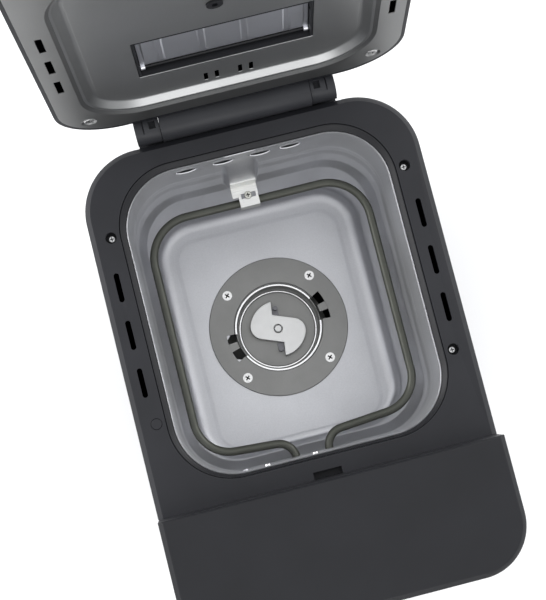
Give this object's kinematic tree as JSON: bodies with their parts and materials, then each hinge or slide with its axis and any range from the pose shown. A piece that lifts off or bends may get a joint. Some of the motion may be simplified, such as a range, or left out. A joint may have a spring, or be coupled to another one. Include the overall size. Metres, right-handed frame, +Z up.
{
  "type": "bread machine",
  "caption": "Bread machine with a hinged lid open over a deep heated baking chamber, a raised control panel at the front and a belt-driven kneading coupler in the chamber floor.",
  "frame": {"origin": "on the table, under the kneading drive shaft, which is also the middle of the machine's box with its lid open", "axes": "+Z up along the drive shaft, -Y to the front with the control panel, +X to the right of someone facing the front panel from -Y"},
  "size_m": [0.2552, 0.4556, 0.6071],
  "materials": {
    "casing": "satin",
    "panel": "satin",
    "trim": "satin",
    "chamber_steel": "satin",
    "shield_steel": "satin",
    "lid_steel": "brushed",
    "flange_steel": "satin",
    "coupler_metal": "matte",
    "cast_metal": "matte",
    "dark_steel": "satin",
    "heater_sheath": "satin",
    "clip_metal": "satin",
    "bright_screws": "polished",
    "rubber": "matte",
    "inner_plastic": "matte",
    "bush_brass": "satin",
    "ceramic": "matte",
    "motor_iron": "matte",
    "board": "matte",
    "display_glass": "gloss",
    "capacitor_can": "satin",
    "magnet": "satin"
  },
  "bodies": {
    "housing": {"base_plate": "casing", "rubber_feet": "rubber", "body_shell": "casing", "front_cover": "casing", "control_panel": "panel", "top_deck": "casing", "chamber_trim_ring": "trim", "deck_screws": "bright_screws", "deck_screw_plug": "casing", "chamber_liner": "chamber_steel", "heat_shield": "shield_steel", "heater_element": "heater_sheath", "heater_terminals": "ceramic", "heater_clip": "clip_metal", "heater_clip_screw": "bright_screws", "temperature_sensor": "chamber_steel", "thermal_fuse": "inner_plastic", "wall_rivets": "bright_screws", "pan_mount_flange": "flange_steel", "flange_screws": "bright_screws", "well_cup": "flange_steel", "bearing_housing": "cast_metal", "shaft_bushes": "bush_brass", "shaft_seal": "rubber", "drive_belt": "rubber", "motor_stator": "motor_iron", "motor_end_bells": "shield_steel", "motor_bracket": "shield_steel", "motor_grommets": "rubber", "chassis_posts": "inner_plastic", "cord_gland": "inner_plastic", "motor_capacitor": "capacitor_can", "power_board": "board", "control_board": "board", "display_module": "display_glass", "board_standoffs": "inner_plastic", "lid_sensor": "inner_plastic", "hinge_barrel": "casing", "hinge_pins": "dark_steel", "hinge_screws": "bright_screws"},
    "drive": {"drive_shaft": "dark_steel", "kneading_coupler": "coupler_metal", "coupler_dogs": "dark_steel", "drive_pulley": "inner_plastic"},
    "rotor": {"motor_rotor": "motor_iron", "motor_pulley": "inner_plastic"},
    "lid": {"lid_shell": "casing", "lid_liner": "lid_steel", "lid_liner_screws": "bright_screws", "lid_plug": "trim", "lid_hinge_arms": "trim", "lid_latch_tongue": "casing", "sensor_magnet": "magnet", "dispenser_hopper": "trim", "dispenser_solenoid": "inner_plastic", "hatch_pin": "dark_steel"},
    "flap": {"dispenser_flap": "lid_steel"},
    "plunger": {"solenoid_plunger": "dark_steel"},
    "hatch": {"dispenser_hatch": "casing", "hatch_seal": "rubber"}
  },
  "joints": [
    {"name": "lid_hinge", "type": "hinge", "parent": "housing", "child": "lid", "pos_m": [0, 0.1502, 0.3279], "axis": [1, 0, 0], "range_deg": [0, 96.5]},
    {"name": "flap_hinge", "type": "hinge", "parent": "lid", "child": "flap", "pos_m": [0, 0.17486, 0.40921], "axis": [1, 0, 0], "range_deg": [0, 75]},
    {"name": "hatch_hinge", "type": "hinge", "parent": "lid", "child": "hatch", "pos_m": [0, 0.20134, 0.39871], "axis": [-1, 0, 0], "range_deg": [0, 95]},
    {"name": "solenoid_slide", "type": "slide", "parent": "lid", "child": "plunger", "axis": [1, 0, 0], "range_m": [0, 0.006], "stiffness_N_per_m": 60, "springref_m": -0.002},
    {"name": "drive_spin", "type": "hinge", "parent": "housing", "child": "drive", "pos_m": [0, 0, 0.04], "axis": [0, 0, 1], "continuous": true},
    {"name": "motor_spin", "type": "hinge", "parent": "housing", "child": "rotor", "pos_m": [0, -0.177, 0.04], "axis": [0, 0, 1], "continuous": true}
  ],
  "couplings": [
    {"joint": "motor_spin", "follows": "drive_spin", "ratio": 5}
  ]
}
